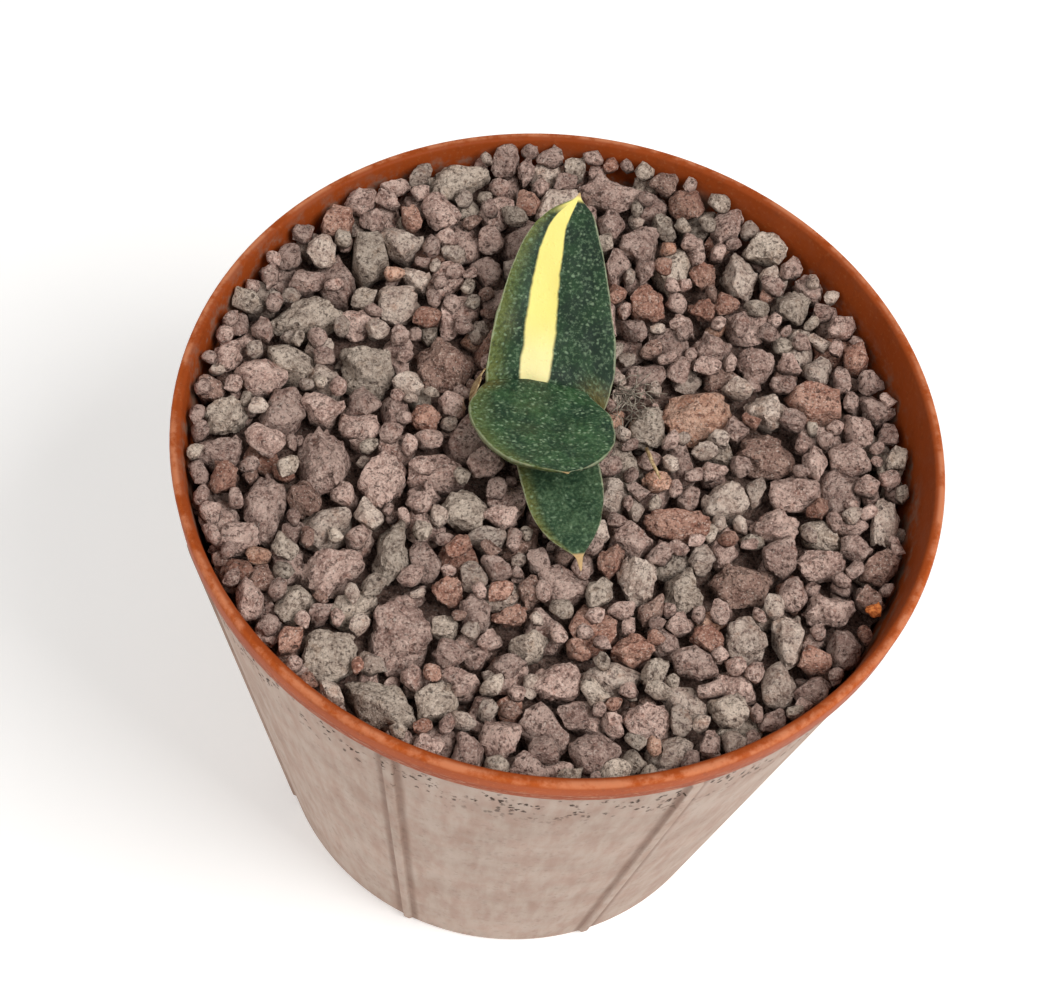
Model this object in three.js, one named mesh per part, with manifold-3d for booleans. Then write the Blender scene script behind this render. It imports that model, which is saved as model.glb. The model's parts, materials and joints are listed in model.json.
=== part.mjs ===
// A young two-ranked gasteria in a round tapered nursery pot, topped with lava gravel.
// Millimetres, +Z up, origin at the centre of the pot's foot, front of the plant towards -Y.
import * as THREE from 'three';
import { mergeVertices } from 'three/addons/utils/BufferGeometryUtils.js';
import Module from 'manifold-3d';

const wasm = await Module();
wasm.setup();

// ---- driving dimensions -------------------------------------------------------------
const POT_HEIGHT = 82;
const RIM_RADIUS = 47.5;
const FOOT_RADIUS = 32.7;
const WALL = 1.35;
const FLOOR_BOTTOM = 2.2;
const FLOOR_TOP = 3.6;
const COLLAR_HEIGHT = 4.4;
const COLLAR_STEP = 0.7;
const LIP_WIDTH = 1.4;
const ROUND_SEGMENTS = 64;

const RIB_COUNT = 8;
const RIB_WIDTH = 1.7;
const RIB_PROUD = 0.4;
const RIB_FIRST_DEG = -106;

const DRAIN_COUNT = 5;
const DRAIN_RADIUS = 3.6;
const DRAIN_CIRCLE = 20;

const GAP = 0.3;
const SOIL_BOTTOM = 4.6;
const SOIL_TOP = 67.6;
const GRAVEL_BOTTOM = 67.9;
const GRAVEL_DROP = 5.3;
const GRAVEL_SLOPE_X = -0.055;
const GRAVEL_SLOPE_Y = 0.02;
const GRAVEL_HEAP = 0.0018;
const HEAP_FROM_Y = 8;
const BED_BELOW_SURFACE = 1.8;
const PEBBLE_PITCH = 7.6;
const PEBBLE_HALF = 2.7;
const STONE_STANDS_PROUD = 1;

const STEM_CENTRE = new THREE.Vector2(-3.2, 6.5);
const STEM_RADIUS = 4.2;
const STEM_BOTTOM = 65.4;
const STEM_TOP = 79.6;
const ROOT_COUNT = 5;
const ROOT_RADIUS = 1.2;

// How far in from the wall's outside the inside runs, and the wall's taper.
const wallSlope = (RIM_RADIUS - COLLAR_STEP - FOOT_RADIUS) / (POT_HEIGHT - COLLAR_HEIGHT);
const outerRadius = z => FOOT_RADIUS + wallSlope * z;
const innerRadius = z => outerRadius(z) - WALL;
// The level of the gravel's mean surface: it slopes down towards +X, and is heaped up at the back.
const gravelLevel = (x, y) => POT_HEIGHT - GRAVEL_DROP + GRAVEL_SLOPE_X * x + GRAVEL_SLOPE_Y * y
  + GRAVEL_HEAP * Math.max(y - HEAP_FROM_Y, 0) ** 2;

// ---- colours ------------------------------------------------------------------------
const paint = (color, roughness) => new THREE.MeshStandardMaterial({ color, roughness, metalness: 0 });
const TERRACOTTA = 0xb0572f;
const STONE_TINTS = {
  mauve: 0x86706b,
  grey: 0x807770,
  pale: 0x9c8c86,
  dark: 0x5d4c49,
  rust: 0x8d5648,
  tan: 0xa37a63,
};

// ---- solids -------------------------------------------------------------------------
function solid(geometry) {
  const bare = geometry.clone();
  bare.deleteAttribute('normal');
  bare.deleteAttribute('uv');
  const merged = mergeVertices(bare, 1e-4);
  return new wasm.Manifold(new wasm.Mesh({
    numProp: 3,
    vertProperties: new Float32Array(merged.attributes.position.array),
    triVerts: new Uint32Array(merged.index.array),
  }));
}

// The largest connected piece, without any sliver that a cut has left loose.
function largest(body) {
  return body.decompose().reduce((a, b) => (b.volume() > a.volume() ? b : a));
}

function geometryOf(body) {
  const mesh = body.getMesh();
  const geometry = new THREE.BufferGeometry();
  geometry.setAttribute('position', new THREE.BufferAttribute(mesh.vertProperties, 3));
  geometry.setIndex(new THREE.BufferAttribute(mesh.triVerts, 1));
  geometry.computeVertexNormals();
  return geometry;
}

const model = new THREE.Group();
function addMesh(name, body, material) {
  const mesh = new THREE.Mesh(geometryOf(body), material);
  mesh.name = name;
  model.add(mesh);
}

// A round solid about Z. The profile runs up the outside from the axis and back to it.
function turned(profile, segments = ROUND_SEGMENTS) {
  const points = profile.map(([radius, z]) => new THREE.Vector2(radius, z));
  return solid(new THREE.LatheGeometry(points, segments).rotateX(Math.PI / 2));
}

// Seeded random numbers from 0 to 1, so that every build is the same.
function seeded(seed) {
  let state = seed;
  return () => {
    state = (state * 1664525 + 1013904223) % 4294967296;
    return state / 4294967296;
  };
}

// ---- pot ----------------------------------------------------------------------------
function makePot() {
  const collarBottom = POT_HEIGHT - COLLAR_HEIGHT;
  let pot = turned([
    [0, FLOOR_BOTTOM],
    [28.4, FLOOR_BOTTOM],
    [29.2, 0],
    [FOOT_RADIUS - 0.4, 0],
    [outerRadius(0.6), 0.6],
    [outerRadius(collarBottom), collarBottom],
    [RIM_RADIUS - 0.3, collarBottom + 0.4],
    [RIM_RADIUS, POT_HEIGHT - 0.8],
    [RIM_RADIUS - 0.4, POT_HEIGHT],
    [RIM_RADIUS - LIP_WIDTH + 0.2, POT_HEIGHT],
    [RIM_RADIUS - LIP_WIDTH, POT_HEIGHT - 0.3],
    [innerRadius(collarBottom), collarBottom],
    [innerRadius(FLOOR_TOP + 1.2), FLOOR_TOP + 1.2],
    [innerRadius(FLOOR_TOP) - 1.2, FLOOR_TOP],
    [0, FLOOR_TOP],
  ]);
  const tilt = Math.atan(wallSlope);
  const ribLength = collarBottom / Math.cos(tilt) - 3;
  for (let i = 0; i < RIB_COUNT; i++) {
    const rib = new THREE.BoxGeometry(1, RIB_WIDTH, ribLength);
    rib.rotateY(tilt);
    rib.translate(outerRadius(collarBottom / 2) + RIB_PROUD - 0.5, 0, collarBottom / 2);
    rib.rotateZ(THREE.MathUtils.degToRad(RIB_FIRST_DEG + (360 / RIB_COUNT) * i));
    pot = pot.add(solid(rib));
  }
  for (let i = 0; i < DRAIN_COUNT; i++) {
    const hole = new THREE.CylinderGeometry(DRAIN_RADIUS, DRAIN_RADIUS, 6, 16).rotateX(Math.PI / 2);
    hole.translate(DRAIN_CIRCLE, 0, FLOOR_TOP);
    hole.rotateZ((2 * Math.PI * i) / DRAIN_COUNT);
    pot = pot.subtract(solid(hole));
  }
  return pot;
}

// ---- leaves -------------------------------------------------------------------------
// A thick tongue: base, bend and tip of its middle line, the half width along it, how far
// the faces stand above and below that line, and grow to make the room that it needs.
const LEAVES = {
  striped: {
    line: [[-3.5, 5.5, 77.6], [-3.6, 17, 83.6], [-3.7, 31.4, 89.6]],
    half: [6.2, 7.7, 7.6, 7.2, 6.4, 4.6, 1.2],
    above: 0.9,
    below: 3.4,
    color: 0x2c4a33,
  },
  young: {
    line: [[-3.4, 8.6, 78.8], [-2, -1.2, 83.6], [0, -10.8, 87.4]],
    half: [6.6, 8.4, 9, 8.9, 8, 6.1, 1.6],
    above: 0.9,
    below: 3.9,
    color: 0x2f4d36,
  },
  old: {
    line: [[-2.8, 5.5, 77.4], [0.4, -5, 78.4], [4.9, -17.8, 78.5]],
    half: [4.6, 5.2, 5.2, 4.9, 4.2, 2.5, 0.5],
    above: 0.9,
    below: 2.6,
    color: 0x2b4632,
  },
};

function halfWidthAt(half, t) {
  const place = t * (half.length - 1);
  const i = Math.min(Math.floor(place), half.length - 2);
  return THREE.MathUtils.lerp(half[i], half[i + 1], place - i);
}

function makeLeaf({ line, half, above, below }, grow = 0) {
  const middle = new THREE.QuadraticBezierCurve3(...line.map(p => new THREE.Vector3(...p)));
  const leaf = new THREE.SphereGeometry(1, 12, 12);
  const position = leaf.attributes.position;
  for (let i = 0; i < position.count; i++) {
    const round = new THREE.Vector3().fromBufferAttribute(position, i);
    const t = Math.acos(THREE.MathUtils.clamp(round.y, -1, 1)) / Math.PI;
    const section = new THREE.Vector2(round.x, round.z);
    if (section.length() > 1e-6) section.normalize();
    else section.set(0, 0);
    const along = middle.getTangent(t);
    const across = new THREE.Vector3(along.y, -along.x, 0).normalize();
    const up = new THREE.Vector3().crossVectors(across, along);
    const thick = Math.sin(Math.PI * THREE.MathUtils.lerp(0.2, 1, t)) ** 0.5;
    const height = section.y > 0 ? above * thick + grow : below * thick + grow;
    const point = middle.getPoint(t);
    point.addScaledVector(across, section.x * (halfWidthAt(half, t) + grow));
    point.addScaledVector(up, section.y * height);
    if (t < 1e-6) point.addScaledVector(along, -grow);
    if (t > 1 - 1e-6) point.addScaledVector(along, grow);
    position.setXYZ(i, point.x, point.y, point.z);
  }
  const body = solid(leaf);
  return body.volume() > 0 ? body : solid(flipped(leaf));
}

function flipped(geometry) {
  const index = geometry.index.array;
  for (let i = 0; i < index.length; i += 3) [index[i], index[i + 1]] = [index[i + 1], index[i]];
  return geometry;
}

// ---- stem and roots -----------------------------------------------------------------
function makeStemWithRoots(grow = 0) {
  const length = STEM_TOP - STEM_BOTTOM;
  const stem = new THREE.CylinderGeometry(STEM_RADIUS + grow, STEM_RADIUS * 0.8 + grow, length + 2 * grow, 12);
  stem.rotateX(Math.PI / 2);
  stem.translate(STEM_CENTRE.x, STEM_CENTRE.y, (STEM_TOP + STEM_BOTTOM) / 2);
  let plant = solid(stem);
  const section = new THREE.Shape();
  for (let i = 0; i < 6; i++) {
    const angle = (Math.PI * i) / 3;
    const radius = ROOT_RADIUS + grow;
    section[i ? 'lineTo' : 'moveTo'](radius * Math.cos(angle), radius * Math.sin(angle));
  }
  for (let i = 0; i < ROOT_COUNT; i++) {
    const turn = (2 * Math.PI * i) / ROOT_COUNT + 0.4;
    const reach = 15 + 2.5 * (i % 3);
    const depth = 22 + 5 * ((i * 2) % ROOT_COUNT);
    const out = new THREE.Vector3(Math.cos(turn), Math.sin(turn), 0);
    const start = new THREE.Vector3(STEM_CENTRE.x, STEM_CENTRE.y, STEM_BOTTOM + 2.2);
    const path = new THREE.CatmullRomCurve3([
      start,
      start.clone().addScaledVector(out, reach * 0.55).setZ(STEM_BOTTOM - 5),
      start.clone().addScaledVector(out, reach).setZ(STEM_BOTTOM - depth - grow),
    ]);
    plant = plant.add(solid(new THREE.ExtrudeGeometry(section, { steps: 6, extrudePath: path, bevelEnabled: false })));
  }
  return plant;
}

// ---- stones -------------------------------------------------------------------------
// The larger stones of the top layer, placed by hand:
// x, y, length, width, height, turn of the length from +X in degrees, tint.
const STONES = [
  [-16, 11, 8.4, 7.8, 6.4, 0, 'dark'],
  [16.5, 11.5, 10, 7.4, 6.6, 25, 'tan'],
  [0.5, 41, 9.4, 5.4, 5.2, 10, 'mauve'],
  [-19.5, 37.5, 9, 4.6, 4.4, 25, 'grey'],
  [-34, 13, 10, 5, 4.8, 35, 'grey'],
  [-23.5, 17.5, 6, 5.6, 5, 20, 'pale'],
  [-25.5, 7.5, 7.4, 7, 6, 0, 'grey'],
  [-41, -4, 6, 4.8, 4.6, 80, 'grey'],
  [-17, 2, 4, 3.8, 3.6, 0, 'rust'],
  [19, 33, 7, 4.8, 4.8, 105, 'pale'],
  [14.2, 31.5, 3.6, 3.4, 3.4, 0, 'rust'],
  [15, 26.5, 3.6, 3.4, 3.2, 30, 'rust'],
  [8, 25.5, 5.2, 4.8, 4.6, 60, 'rust'],
  [5.5, 34.5, 5.6, 5, 4.6, 80, 'mauve'],
  [25, 14.2, 5.6, 5.2, 4.8, 0, 'pale'],
  [23, 20.5, 5.4, 5, 4.6, 40, 'mauve'],
  [17, 21.5, 5.2, 4.8, 4.6, 0, 'mauve'],
  [-28, -7, 9.4, 6.4, 5.8, 100, 'mauve'],
  [-33.5, -15, 10, 5.2, 5, 105, 'mauve'],
  [-24, -22, 8.2, 6, 5.2, 30, 'mauve'],
  [-14.5, -28, 10.4, 7.4, 6.2, 100, 'mauve'],
  [-22, -33, 7.2, 6.8, 5.4, 20, 'grey'],
  [-17.5, -17.5, 9, 4.4, 4.6, 95, 'grey'],
  [-20.5, -8, 8.2, 5.8, 5.2, 100, 'mauve'],
  [-10, -9.5, 6, 5.6, 4.8, 0, 'grey'],
  [-15, -38, 9.4, 5.8, 5, -22, 'grey'],
  [-10, -21.5, 3.8, 3.6, 3.4, 0, 'rust'],
  [-2, -23, 4.6, 3, 3, 35, 'rust'],
  [21.5, -0.5, 5.8, 5.6, 5, 0, 'pale'],
  [16, -5.5, 8, 4.6, 4.4, 10, 'rust'],
  [28, -2.5, 6.2, 5, 4.6, 20, 'mauve'],
  [26, 7.2, 8, 6, 5.2, -10, 'dark'],
  [25, -11.5, 8.4, 6, 5, 15, 'dark'],
  [34.4, -6.5, 6.6, 4.2, 4.2, 10, 'mauve'],
  [36, -12.8, 6.2, 4.8, 4.4, 30, 'mauve'],
  [31.5, -18, 7.8, 4, 4.4, 95, 'pale'],
  [26.3, -19.5, 6.8, 5.2, 4.8, 100, 'pale'],
  [12.2, -14.5, 6.4, 4.8, 4.6, 100, 'pale'],
  [18, -14.5, 6.2, 4.8, 4.4, 100, 'grey'],
  [21.6, -20.5, 4, 3.8, 3.6, 0, 'rust'],
  [41.8, 1, 7.8, 3.6, 4.2, 92, 'pale'],
  [13, -24, 5.2, 4, 3.8, 15, 'rust'],
  [16, -33, 6, 5, 4.4, 0, 'mauve'],
  [8.6, -12.6, 4.8, 3, 3.2, 80, 'rust'],
  [5, -30, 6, 5.8, 4.8, 0, 'mauve'],
  [10.5, 7.5, 6.2, 5, 4.6, 100, 'grey'],
];

function stoneGeometry(random, [x, y, length, width, height, turnDeg], grow = 0) {
  const rock = new THREE.DodecahedronGeometry(1, 0);
  rock.deleteAttribute('normal');
  rock.deleteAttribute('uv');
  const stone = mergeVertices(rock, 1e-4);
  const position = stone.attributes.position;
  for (let i = 0; i < position.count; i++) {
    const stretch = 0.84 + 0.16 * random();
    position.setXYZ(i, position.getX(i) * stretch, position.getY(i) * stretch, position.getZ(i) * stretch);
  }
  stone.computeBoundingBox();
  stone.center();
  const size = stone.boundingBox.getSize(new THREE.Vector3());
  stone.scale((length + 2 * grow) / size.x, (width + 2 * grow) / size.y, (height + 2 * grow) / size.z);
  stone.rotateZ(THREE.MathUtils.degToRad(turnDeg));
  stone.translate(x, y, gravelLevel(x, y) + STONE_STANDS_PROUD - height / 2);
  return stone;
}

const makeStone = (place, index, grow = 0) => solid(stoneGeometry(seeded(101 + index), place, grow));

// ---- gravel and growing mix ---------------------------------------------------------
const plugRadius = z => innerRadius(z) - GAP - 0.05;

function makeSoil() {
  return turned([
    [0, SOIL_BOTTOM],
    [plugRadius(SOIL_BOTTOM) - 1, SOIL_BOTTOM],
    [plugRadius(SOIL_BOTTOM + 1.4), SOIL_BOTTOM + 1.4],
    [plugRadius(SOIL_TOP), SOIL_TOP],
    [0, SOIL_TOP],
  ], 48);
}

// One pebble of the bed: only its upper half stands out of the bed, so nothing is undercut.
function pebble(random, x, y) {
  const stone = new THREE.IcosahedronGeometry(1, 0);
  stone.rotateX(6.3 * random());
  stone.rotateZ(6.3 * random());
  const half = PEBBLE_HALF * (0.85 + 0.45 * random());
  stone.scale(half * (0.9 + 0.35 * random()), half, PEBBLE_HALF * (0.75 + 0.45 * random()));
  stone.rotateZ(6.3 * random());
  stone.translate(x, y, gravelLevel(x, y) - BED_BELOW_SURFACE - 0.3);
  return solid(stone);
}

function makeGravelBed() {
  const top = POT_HEIGHT - GRAVEL_DROP - BED_BELOW_SURFACE;
  const bedRadius = plugRadius(GRAVEL_BOTTOM);
  const block = new THREE.LatheGeometry([
    new THREE.Vector2(0, GRAVEL_BOTTOM),
    new THREE.Vector2(bedRadius, GRAVEL_BOTTOM),
    new THREE.Vector2(bedRadius + 1, top),
    new THREE.Vector2(0, top),
  ], 48).rotateX(Math.PI / 2);
  const position = block.attributes.position;
  for (let i = 0; i < position.count; i++) {
    const [x, y, z] = [position.getX(i), position.getY(i), position.getZ(i)];
    if (z > top - 1) position.setZ(i, gravelLevel(x, y) - BED_BELOW_SURFACE);
  }
  let bed = solid(block);
  const random = seeded(7);
  const rows = Math.ceil(RIM_RADIUS / PEBBLE_PITCH / 0.87);
  for (let row = -rows; row <= rows; row++) {
    for (let column = -rows; column <= rows; column++) {
      const x = PEBBLE_PITCH * (column + (row % 2) / 2 + 0.35 * (random() - 0.5));
      const y = PEBBLE_PITCH * (0.87 * row + 0.35 * (random() - 0.5));
      const underStone = STONES.some(([sx, sy, length]) => Math.hypot(x - sx, y - sy) < length * 0.36);
      if (Math.hypot(x, y) < bedRadius - 0.5 && !underStone) bed = bed.add(pebble(random, x, y));
    }
  }
  const plug = turned([
    [0, GRAVEL_BOTTOM],
    [bedRadius, GRAVEL_BOTTOM],
    [plugRadius(POT_HEIGHT - COLLAR_HEIGHT), POT_HEIGHT - COLLAR_HEIGHT],
    [plugRadius(POT_HEIGHT - COLLAR_HEIGHT), POT_HEIGHT],
    [0, POT_HEIGHT],
  ], 48);
  return bed.intersect(plug);
}

// ---- small dry remains --------------------------------------------------------------
// A papery scale, curved round the left of the leaf bases.
function makeDrySheath() {
  const [inside, outside, from, to] = [8.3, 8.8, 2.75, 3.45];
  const outline = new THREE.Shape();
  outline.absarc(0, 0, outside, from, to, false);
  outline.absarc(0, 0, inside, to, from, true);
  const sheath = new THREE.ExtrudeGeometry(outline, { depth: 4.6, bevelEnabled: false, curveSegments: 5 });
  sheath.translate(-3.5, 5.6, 77.4);
  return solid(sheath);
}

// A bit of straw that lies over the stones on the right of the plant.
function makeDryStraw() {
  const section = new THREE.Shape();
  section.absarc(0, 0, 0.25, 0, 2 * Math.PI, false);
  const path = new THREE.CatmullRomCurve3([
    new THREE.Vector3(10.6, 2.6, 78.3),
    new THREE.Vector3(11.6, 0.4, 78.7),
    new THREE.Vector3(12.9, -1.4, 78.2),
  ]);
  const settings = { steps: 6, extrudePath: path, bevelEnabled: false, curveSegments: 3 };
  return solid(new THREE.ExtrudeGeometry(section, settings));
}

// An orange crumb of old pot, against the inside of the wall.
function makePotCrumb() {
  const crumb = new THREE.DodecahedronGeometry(1, 0);
  crumb.scale(1.3, 0.9, 0.8);
  crumb.rotateZ(-0.5);
  crumb.translate(40.8, -13.6, 77.2);
  return solid(crumb);
}

// ---- the whole object ---------------------------------------------------------------
const young = makeLeaf(LEAVES.young);
const youngRoom = makeLeaf(LEAVES.young, GAP);
const striped = largest(makeLeaf(LEAVES.striped).subtract(youngRoom));
const stripedRoom = makeLeaf(LEAVES.striped, GAP);
const old = largest(makeLeaf(LEAVES.old).subtract(youngRoom).subtract(stripedRoom));
const leafRooms = [youngRoom, stripedRoom, makeLeaf(LEAVES.old, GAP)];
const clearOf = (body, rooms) => largest(rooms.reduce((rest, room) => rest.subtract(room), body));

addMesh('pot', makePot(), paint(TERRACOTTA, 0.45));
addMesh('growing_mix', clearOf(makeSoil(), [makeStemWithRoots(GAP)]), paint(0x3a2c22, 0.95));
addMesh('stem_with_roots', clearOf(makeStemWithRoots(), leafRooms), paint(0xa8895f, 0.7));
addMesh('leaf_young', young, paint(LEAVES.young.color, 0.4));
addMesh('leaf_striped', striped, paint(LEAVES.striped.color, 0.4));
addMesh('leaf_old', old, paint(LEAVES.old.color, 0.4));

const stoneRooms = STONES.map((place, index) => makeStone(place, index, GAP + 0.05));
const sheath = clearOf(makeDrySheath(), leafRooms);
const crumb = makePotCrumb();
addMesh('dry_sheath', sheath, paint(0xb99f73, 0.8));
addMesh('dry_straw', makeDryStraw(), paint(0xa88a5c, 0.8));
addMesh('pot_crumb', crumb, paint(0xc0602f, 0.7));

const sheathRoom = solid(new THREE.BoxGeometry(3, 6.4, 5.4).translate(-11.6, 5.6, 79.6));
const crumbRoom = solid(new THREE.BoxGeometry(3.6, 3.2, 2.4).translate(40.8, -13.6, 77.2));
const bedRooms = [...stoneRooms, ...leafRooms, makeStemWithRoots(GAP), sheathRoom, crumbRoom];
addMesh('gravel_bed', clearOf(makeGravelBed(), bedRooms), paint(STONE_TINTS.mauve, 0.95));
STONES.forEach((place, index) => {
  const name = `stone_${String(index + 1).padStart(2, '0')}`;
  addMesh(name, makeStone(place, index), paint(STONE_TINTS[place[6]], 0.95));
});

export default model;
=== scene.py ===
"""A young two-ranked gasteria in a terracotta-coloured nursery pot, topped with lava gravel.

Metres, +Z up, the pot's foot centred on the origin, and the front of the plant towards -Y.
"""

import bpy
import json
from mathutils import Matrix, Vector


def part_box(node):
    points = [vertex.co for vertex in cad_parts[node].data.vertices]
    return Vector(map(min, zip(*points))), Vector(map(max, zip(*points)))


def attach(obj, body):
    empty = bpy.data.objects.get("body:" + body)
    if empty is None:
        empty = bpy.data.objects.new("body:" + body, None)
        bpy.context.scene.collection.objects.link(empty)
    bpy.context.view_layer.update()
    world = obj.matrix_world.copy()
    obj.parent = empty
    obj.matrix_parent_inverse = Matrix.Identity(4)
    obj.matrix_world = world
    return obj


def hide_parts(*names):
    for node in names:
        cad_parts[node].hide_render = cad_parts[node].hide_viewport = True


bl_info = {
    "name": "Potted Gasteria",
    "version": (1, 0, 0),
    "blender": (4, 5, 0),
    "location": "3D View > Sidebar > Gasteria",
    "description": "Builds a young gasteria in a nursery pot, with its gravel, stones and dry remains",
    "category": "Add Mesh",
}

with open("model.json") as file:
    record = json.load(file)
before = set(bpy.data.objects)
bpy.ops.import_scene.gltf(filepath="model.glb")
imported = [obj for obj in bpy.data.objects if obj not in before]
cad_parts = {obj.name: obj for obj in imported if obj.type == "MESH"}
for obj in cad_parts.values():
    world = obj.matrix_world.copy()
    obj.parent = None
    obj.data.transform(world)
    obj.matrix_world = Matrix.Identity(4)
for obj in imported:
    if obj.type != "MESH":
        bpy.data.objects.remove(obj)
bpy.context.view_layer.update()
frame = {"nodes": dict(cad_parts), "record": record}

import itertools
import json
import math
import random

import bmesh
import bpy
import numpy as np
from bpy.props import FloatProperty, FloatVectorProperty, IntProperty, PointerProperty
from mathutils import Matrix, Vector
from mathutils.bvhtree import BVHTree

MM = 0.001

# The pot, in millimetres, as the frame has it.
POT_HEIGHT = 82.0
FOOT_RADIUS = 32.7
WALL = 1.35
COLLAR_BOTTOM = 77.6
FLOOR_TOP = 3.6
WALL_SLOPE = (46.8 - FOOT_RADIUS) / COLLAR_BOTTOM
RIBS = 8
RIB_TURN = 2 * math.pi / RIBS
FIRST_RIB = math.radians(-106)
DRAIN_HOLES = 5
DRAIN_CIRCLE = 20.0
# The gravel, in millimetres: how far below its mean surface each thing lies, and how far out it reaches.
BED_DEPTH = 4.3
CORE_DEPTH = 3.9
CORE_BOTTOM = 68.0
COVER_DEPTH = 1.6
BED_REACH = 44.9
# Each round of small stones: how many, smallest and largest half length, and nearest to the pot's middle.
# The larger ones come first, then ever smaller ones go into what is left between them.
GRAVEL_ROUNDS = ((44, 1.9, 2.9, 41), (230, 2.5, 3.7, 0), (320, 1.9, 2.7, 0), (80, 1.4, 2.1, 42),
                 (500, 1.4, 2.0, 0), (90, 1.0, 1.4, 43), (300, 0.9, 1.4, 0))
MISSES_ALLOWED = 80
GRAVEL_SHARES = {"mauve": 0.60, "grey": 0.13, "pale": 0.15, "rust": 0.065, "dark": 0.045, "tan": 0.01}
STONES_IN_A_PIECE = 120
# Shapes are made a little larger than their boxes, as their corners are rounded.
FULLER = 1.04
STONE_NODES = sorted(name for name in frame["nodes"] if name.startswith("stone_"))
NODE_SLOTS = {part["node"]: part["material_slot"] for part in frame["record"]["subparts"]}


def outer_radius(z):
    return FOOT_RADIUS + WALL_SLOPE * z


def inner_radius(z):
    return outer_radius(z) - WALL


def gravel_level(x, y):
    """Height of the gravel's mean surface: it slopes down towards +X, and is heaped up at the back."""
    return POT_HEIGHT - 5.3 - 0.055 * x + 0.02 * y + 0.0018 * np.maximum(y - 8, 0) ** 2


# ---- working in edit mode -----------------------------------------------------------------

def clear_selection():
    if bpy.context.mode != "OBJECT":
        bpy.ops.object.mode_set(mode="OBJECT")
    bpy.ops.object.select_all(action="DESELECT")


def take(piece, others=()):
    """Selects the piece as the active one, with the others beside it."""
    clear_selection()
    for other in others:
        other.select_set(True)
    piece.select_set(True)
    bpy.context.view_layer.objects.active = piece


def added(name):
    """Names the object that the last primitive made."""
    piece = bpy.context.object
    piece.name = piece.data.name = name
    return piece


def pick(piece, test, kind="verts"):
    """In edit mode, selects only the vertices, edges or faces that pass the test."""
    mesh = bmesh.from_edit_mesh(piece.data)
    for part in (mesh.verts, mesh.edges, mesh.faces):
        for element in part:
            element.select = False
    found = [element for element in getattr(mesh, kind) if test(element)]
    for element in found:
        element.select_set(True)
    if kind == "verts":
        mesh.select_flush_mode()
    bmesh.update_edit_mesh(piece.data)
    return len(found)


def extrude_to(move, grow=(1, 1, 1), about=(0, 0, 0)):
    """Extrudes the selection by a step in millimetres, then resizes it about a point."""
    bpy.ops.mesh.extrude_region_move(TRANSFORM_OT_translate={"value": [v * MM for v in move]})
    bpy.ops.transform.resize(value=grow, center_override=[v * MM for v in about])


def add_modifier(piece, kind, **settings):
    take(piece)
    modifier = piece.modifiers.new(kind.title(), kind)
    for key, value in settings.items():
        setattr(modifier, key, value)
    bpy.ops.object.modifier_apply(modifier=modifier.name)


def ripples(name, kind, size, **settings):
    """A procedural pattern for displacing a surface."""
    pattern = bpy.data.textures.new(name, kind)
    pattern.noise_scale = size
    for key, value in settings.items():
        setattr(pattern, key, value)
    return pattern


def displace(piece, pattern, strength, mid_level=0.5):
    add_modifier(piece, "DISPLACE", texture=pattern, strength=strength, mid_level=mid_level,
                 texture_coords="LOCAL")


def face_outwards(piece):
    take(piece)
    bpy.ops.object.mode_set(mode="EDIT")
    bpy.ops.mesh.select_all(action="SELECT")
    bpy.ops.mesh.normals_make_consistent(inside=False)
    bpy.ops.object.mode_set(mode="OBJECT")


def settle(piece, finish, angle=None):
    """Applies the piece's place, shades it and gives it its finish and its body."""
    take(piece)
    bpy.ops.object.transform_apply(location=True, rotation=True, scale=True)
    if angle is None:
        bpy.ops.object.shade_smooth()
    else:
        bpy.ops.object.shade_smooth_by_angle(angle=math.radians(angle))
    piece.data.materials.clear()
    piece.data.materials.append(finish)
    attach(piece, "root")


def write_attribute(mesh, name, kind, values):
    attribute = mesh.attributes.new(name, kind, "POINT")
    values = np.asarray(values, dtype=np.float32)
    attribute.data.foreach_set("vector" if kind == "FLOAT_VECTOR" else "value", values.ravel())


def points_of(mesh):
    points = np.empty(len(mesh.vertices) * 3, dtype=np.float64)
    mesh.vertices.foreach_get("co", points)
    return points.reshape(-1, 3)


def put_points(mesh, points):
    mesh.vertices.foreach_set("co", np.asarray(points, dtype=np.float32).ravel())
    mesh.update()


def copy_of_node(name, new_name):
    """A separate, joined-up copy of a frame solid, to work on."""
    piece = bpy.data.objects.new(new_name, frame["nodes"][name].data.copy())
    piece.data.name = new_name
    bpy.context.scene.collection.objects.link(piece)
    take(piece)
    bpy.ops.object.mode_set(mode="EDIT")
    bpy.ops.mesh.select_all(action="SELECT")
    bpy.ops.mesh.remove_doubles(threshold=1e-6)
    bpy.ops.object.mode_set(mode="OBJECT")
    return piece


# ---- finishes -----------------------------------------------------------------------------

def linear(code):
    """A colour code such as 'b0572f' as linear red, green, blue and an alpha of one."""
    parts = [int(code[i:i + 2], 16) / 255 for i in (0, 2, 4)]
    return (*(c / 12.92 if c <= 0.04045 else ((c + 0.055) / 1.055) ** 2.4 for c in parts), 1.0)


def opaque(colour):
    """A colour setting with its alpha, as a colour socket takes it."""
    return (*colour, 1.0)


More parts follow.
